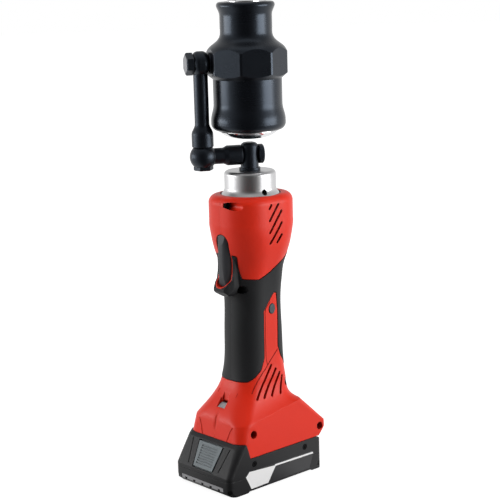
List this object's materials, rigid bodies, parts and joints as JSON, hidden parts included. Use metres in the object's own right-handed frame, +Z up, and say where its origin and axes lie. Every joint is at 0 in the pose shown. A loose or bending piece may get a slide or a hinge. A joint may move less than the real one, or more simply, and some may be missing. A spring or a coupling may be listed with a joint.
{
  "type": "cordless hydraulic sheet metal punch",
  "caption": "Battery hand tool with an upright grip and trigger whose motor pump drives a hydraulic draw head on a swivelling arm, for pulling punches through sheet metal.",
  "frame": {"origin": "centre of the tool's axis on the floor, on the battery's flat bottom", "axes": "+Z up along the handle towards the draw head, the trigger faces -Y, +X is the right-hand side"},
  "size_m": [0.075, 0.1238, 0.4372],
  "materials": {
    "red_shell": "moulded, satin",
    "soft_grip": "overmoulded, matt",
    "trigger_plastic": "moulded, fine grain",
    "retract_plastic": "moulded, matt",
    "screw_steel": "black oxide",
    "lens": "clear",
    "inner_plastic": "moulded",
    "board": "lacquered",
    "contact_brass": "plated",
    "motor_steel": "zinc plated",
    "gear_steel": "ground",
    "lead": "smooth",
    "pump_alloy": "cast and machined",
    "seal_rubber": "moulded",
    "collar_steel": "turned, satin",
    "black_steel": "black oxide, satin",
    "head_black": "black oxide, semi-gloss",
    "bolt_steel": "dark zinc",
    "polished_steel": "polished",
    "pack_plastic": "moulded, fine grain",
    "strip_plastic": "moulded",
    "release_plastic": "moulded",
    "label": "printed film",
    "cell_wrap": "shrink film"
  },
  "bodies": {
    "tool_body": {"left_housing": "red_shell", "right_housing": "red_shell", "left_grip": "soft_grip", "right_grip": "soft_grip", "housing_screws": "screw_steel", "trigger_pin": "gear_steel", "switch_module": "inner_plastic", "status_lens": "lens", "control_board": "board", "terminal_block": "inner_plastic", "terminal_blades": "contact_brass", "motor_can": "motor_steel", "motor_end_bell": "inner_plastic", "motor_leads": "lead", "ring_gear": "gear_steel", "carrier_bearing": "gear_steel", "pump_body": "pump_alloy", "pump_plunger": "gear_steel", "relief_valve": "contact_brass", "oil_bladder": "seal_rubber", "nose_collar": "collar_steel", "collar_set_screw": "screw_steel"},
    "trigger": {"trigger": "trigger_plastic"},
    "retract_button": {"retract_button": "retract_plastic"},
    "rotor": {"rotor": "motor_steel", "cooling_fan": "inner_plastic", "sun_pinion": "gear_steel"},
    "planet_carrier": {"planet_carrier": "gear_steel"},
    "planet_gear_1": {"planet_gear_1": "gear_steel"},
    "planet_gear_2": {"planet_gear_2": "gear_steel"},
    "planet_gear_3": {"planet_gear_3": "gear_steel"},
    "swivel_post": {"swivel_post": "black_steel", "post_clip": "gear_steel", "post_seal": "seal_rubber"},
    "cross_arm": {"cross_arm": "black_steel", "cross_arm_bolt": "black_steel"},
    "riser_arm": {"riser_arm": "black_steel", "riser_bolt": "black_steel"},
    "draw_head": {"head_cylinder": "head_black", "upper_bolt": "bolt_steel", "upper_seal": "bolt_steel", "bottom_cap": "polished_steel", "cap_seal": "seal_rubber", "guide_bush": "contact_brass", "rod_wiper": "seal_rubber", "return_spring": "gear_steel"},
    "draw_piston": {"draw_piston": "polished_steel", "piston_seal": "seal_rubber"},
    "battery": {"battery_tray": "pack_plastic", "battery_cover": "pack_plastic", "front_strip": "strip_plastic", "battery_screws": "screw_steel", "side_labels": "label", "battery_cells": "cell_wrap", "cell_frame": "inner_plastic", "battery_board": "board"},
    "release_button": {"release_button": "release_plastic"}
  },
  "joints": [
    {"name": "post_turn", "type": "hinge", "parent": "tool_body", "child": "swivel_post", "pos_m": [0, 0, 0.2855], "axis": [0, 0, 1], "continuous": true},
    {"name": "arm_roll", "type": "hinge", "parent": "swivel_post", "child": "cross_arm", "pos_m": [0, 0, 0.2998], "axis": [-0.4695, -0.8829, 0], "range_deg": [-65, 65]},
    {"name": "riser_turn", "type": "hinge", "parent": "cross_arm", "child": "riser_arm", "pos_m": [-0.02, -0.03761, 0.3084], "axis": [0, 0, 1], "continuous": true},
    {"name": "head_tilt", "type": "hinge", "parent": "riser_arm", "child": "draw_head", "pos_m": [-0.02, -0.03761, 0.3825], "axis": [-0.4695, -0.8829, 0], "continuous": true},
    {"name": "draw_stroke", "type": "slide", "parent": "draw_head", "child": "draw_piston", "axis": [0, 0, -1], "range_m": [0, 0.02], "stiffness_N_per_m": 3000, "springref_m": -0.01, "deforming": ["return_spring"]},
    {"name": "trigger_pull", "type": "hinge", "parent": "tool_body", "child": "trigger", "pos_m": [0, -0.032, 0.222], "axis": [1, 0, 0], "range_deg": [0, 5], "stiffness_Nm_per_rad": 2, "springref_deg": -5.73},
    {"name": "retract_press", "type": "slide", "parent": "tool_body", "child": "retract_button", "axis": [-1, 0, 0], "range_m": [0, 0.0013], "stiffness_N_per_m": 800, "springref_m": -0.003},
    {"name": "battery_slide", "type": "slide", "parent": "tool_body", "child": "battery", "axis": [0, -1, 0], "range_m": [0, 0.1]},
    {"name": "release_press", "type": "slide", "parent": "battery", "child": "release_button", "axis": [0, 0.8716, -0.4903], "range_m": [0, 0.0025], "stiffness_N_per_m": 1000, "springref_m": -0.002},
    {"name": "motor_spin", "type": "hinge", "parent": "tool_body", "child": "rotor", "pos_m": [0, 0, 0.16], "axis": [0, 0, 1], "continuous": true},
    {"name": "carrier_spin", "type": "hinge", "parent": "tool_body", "child": "planet_carrier", "pos_m": [0, 0, 0.18], "axis": [0, 0, 1], "continuous": true},
    {"name": "planet_spin_1", "type": "hinge", "parent": "planet_carrier", "child": "planet_gear_1", "pos_m": [0.009, 0, 0.168], "axis": [0, 0, 1], "continuous": true},
    {"name": "planet_spin_2", "type": "hinge", "parent": "planet_carrier", "child": "planet_gear_2", "pos_m": [-0.0045, 0.00779, 0.168], "axis": [0, 0, 1], "continuous": true},
    {"name": "planet_spin_3", "type": "hinge", "parent": "planet_carrier", "child": "planet_gear_3", "pos_m": [-0.0045, -0.00779, 0.168], "axis": [0, 0, 1], "continuous": true}
  ],
  "couplings": [
    {"joint": "carrier_spin", "follows": "motor_spin", "ratio": 0.2},
    {"joint": "planet_spin_1", "follows": "motor_spin", "ratio": -0.53333},
    {"joint": "planet_spin_2", "follows": "motor_spin", "ratio": -0.53333},
    {"joint": "planet_spin_3", "follows": "motor_spin", "ratio": -0.53333}
  ]
}
